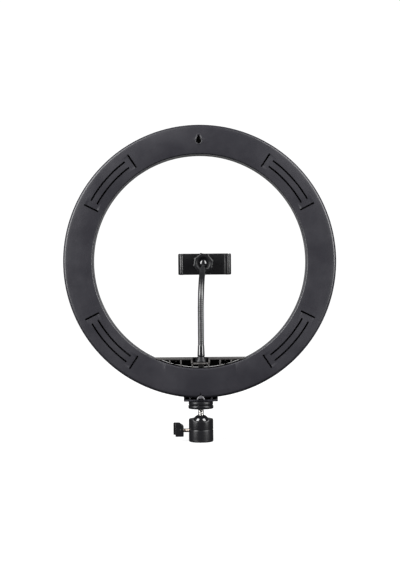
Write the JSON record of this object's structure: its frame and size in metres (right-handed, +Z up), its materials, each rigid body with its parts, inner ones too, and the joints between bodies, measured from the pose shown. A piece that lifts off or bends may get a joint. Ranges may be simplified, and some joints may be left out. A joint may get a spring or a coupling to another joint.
{
  "type": "ring light",
  "caption": "Ring light with an opal diffuser and vented back shell, a gooseneck phone clip across its hole and a miniature ball head for a light stand.",
  "frame": {"origin": "centre of the ball head's underside, where its 1/4-inch socket screws onto a light stand", "axes": "+Z up, the back of the light faces -Y and it shines towards +Y"},
  "size_m": [0.3, 0.0889, 0.3483],
  "materials": {
    "shell_black": "fine moulded grain, charcoal black",
    "gloss_black": "gloss black",
    "satin_black": "satin black",
    "clip_black": "satin moulded black",
    "socket_black": "gloss black",
    "opal": "opal white, satin",
    "white_sheet": "white film",
    "board_white": "white solder mask on aluminium",
    "board_green": "green solder mask",
    "steel": "bright zinc plated",
    "brass": "turned",
    "nylon": "natural nylon",
    "rubber": "soft black",
    "lead_red": "insulated lead"
  },
  "bodies": {
    "ball_head": {"head_housing": "satin_black", "head_base_plug": "steel", "clamp_shoe": "brass"},
    "clamp": {"clamp_screw": "steel", "clamp_knob": "clip_black"},
    "cup": {"ball_cup": "nylon"},
    "tilting_ball": {"head_ball": "gloss_black", "stud": "steel"},
    "wheel": {"lock_wheel": "satin_black"},
    "light": {"rear_shell": "shell_black", "front_frame": "shell_black", "diffuser": "opal", "led_board": "board_white", "reflector_sheet": "white_sheet", "frame_screw_1": "steel", "frame_screw_2": "steel", "frame_screw_3": "steel", "frame_screw_4": "steel", "frame_screw_5": "steel", "frame_screw_6": "steel", "control_board": "board_green", "board_screw_left": "steel", "board_screw_right": "steel", "power_inlet": "socket_black", "power_lead": "lead_red", "led_lead": "lead_red", "phone_shelf": "shell_black", "shelf_screw_left": "steel", "shelf_screw_right": "steel", "foot_bracket": "shell_black", "foot_insert": "satin_black", "foot_screw_left": "steel", "foot_screw_right": "steel", "neck_flange": "satin_black", "neck_nut": "steel", "neck_base_ferrule": "gloss_black"},
    "neck_1": {"neck_link_1": "satin_black"},
    "neck_2": {"neck_link_2": "satin_black"},
    "neck_3": {"neck_link_3": "satin_black"},
    "neck_4": {"neck_link_4": "satin_black"},
    "neck_5": {"neck_link_5": "satin_black"},
    "neck_6": {"neck_link_6": "satin_black"},
    "neck_7": {"neck_link_7": "satin_black"},
    "neck_tip": {"neck_tip_ferrule": "gloss_black"},
    "stem": {"ball_stem": "gloss_black"},
    "nut": {"ball_lock_nut": "satin_black"},
    "clip": {"clip_cover": "clip_black", "clip_body": "clip_black", "pad_face": "rubber", "pad_fixed": "rubber", "slide_spring_upper": "steel", "slide_spring_lower": "steel"},
    "jaw": {"sliding_jaw": "clip_black", "slide_rod_upper": "steel", "slide_rod_lower": "steel", "pad_sliding": "rubber"}
  },
  "joints": [
    {"name": "clamp_turn", "type": "hinge", "parent": "ball_head", "child": "clamp", "pos_m": [-0.02, 0, 0.0124], "axis": [-1, 0, 0], "range_deg": [-360, 0]},
    {"name": "head_pan", "type": "hinge", "parent": "ball_head", "child": "cup", "pos_m": [0, 0, 0.0202], "axis": [0, 0, 1], "continuous": true},
    {"name": "head_tilt", "type": "hinge", "parent": "cup", "child": "tilting_ball", "pos_m": [0, 0, 0.0202], "axis": [1, 0, 0], "range_deg": [-33, 33]},
    {"name": "light_spin", "type": "hinge", "parent": "tilting_ball", "child": "light", "pos_m": [0, 0, 0.04], "axis": [0, 0, 1], "range_deg": [-180, 180]},
    {"name": "lock_wheel_turn", "type": "hinge", "parent": "tilting_ball", "child": "wheel", "pos_m": [0, 0, 0.04], "axis": [0, 0, 1], "range_deg": [-360, 0]},
    {"name": "neck_bend_1", "type": "hinge", "parent": "light", "child": "neck_1", "pos_m": [0.0007, -0.004, 0.1068], "axis": [-0.9971, 0.0767, 0], "range_deg": [-15, 15]},
    {"name": "neck_sway_1", "type": "hinge", "parent": "neck_1", "child": "neck_2", "pos_m": [0.0007, -0.004, 0.11887], "axis": [0.0767, 0.9971, 0], "range_deg": [-15, 15]},
    {"name": "neck_bend_2", "type": "hinge", "parent": "neck_2", "child": "neck_3", "pos_m": [0.0007, -0.004, 0.13094], "axis": [-0.9971, 0.0767, 0], "range_deg": [-15, 15]},
    {"name": "neck_sway_2", "type": "hinge", "parent": "neck_3", "child": "neck_4", "pos_m": [0.00073, -0.00361, 0.143], "axis": [0.0762, 0.9902, -0.1169], "range_deg": [-15, 15]},
    {"name": "neck_bend_3", "type": "hinge", "parent": "neck_4", "child": "neck_5", "pos_m": [0.00093, -0.00096, 0.15475], "axis": [-0.9971, 0.0767, 0], "range_deg": [-15, 15]},
    {"name": "neck_sway_3", "type": "hinge", "parent": "neck_5", "child": "neck_6", "pos_m": [0.00132, 0.00409, 0.16569], "axis": [0.0659, 0.8559, -0.5129], "range_deg": [-15, 15]},
    {"name": "neck_bend_4", "type": "hinge", "parent": "neck_6", "child": "neck_7", "pos_m": [0.00188, 0.0113, 0.17533], "axis": [-0.9971, 0.0767, 0], "range_deg": [-15, 15]},
    {"name": "neck_sway_4", "type": "hinge", "parent": "neck_7", "child": "neck_tip", "pos_m": [0.00258, 0.02036, 0.18324], "axis": [0.044, 0.5719, -0.8192], "range_deg": [-15, 15]},
    {"name": "clip_swivel", "type": "hinge", "parent": "neck_tip", "child": "stem", "pos_m": [0.00408, 0.03996, 0.197], "axis": [0.0628, 0.8167, 0.5736], "range_deg": [-90, 90]},
    {"name": "clip_tilt", "type": "hinge", "parent": "stem", "child": "nut", "pos_m": [0.00408, 0.03996, 0.197], "axis": [-0.9941, 0, 0.1089], "range_deg": [-73, 2]},
    {"name": "clip_roll", "type": "hinge", "parent": "nut", "child": "clip", "pos_m": [0.00408, 0.03996, 0.197], "axis": [0, 1, 0], "range_deg": [-180, 180]},
    {"name": "clip_slide", "type": "slide", "parent": "clip", "child": "jaw", "axis": [1, 0, 0], "range_m": [0, 0.025], "stiffness_N_per_m": 120, "springref_m": -0.02, "deforming": ["slide_spring_upper", "slide_spring_lower"]}
  ],
  "couplings": [
    {"joint": "neck_bend_2", "follows": "neck_bend_1", "ratio": 1},
    {"joint": "neck_sway_2", "follows": "neck_sway_1", "ratio": 1},
    {"joint": "neck_bend_3", "follows": "neck_bend_1", "ratio": 1},
    {"joint": "neck_sway_3", "follows": "neck_sway_1", "ratio": 1},
    {"joint": "neck_bend_4", "follows": "neck_bend_1", "ratio": 1},
    {"joint": "neck_sway_4", "follows": "neck_sway_1", "ratio": 1}
  ]
}
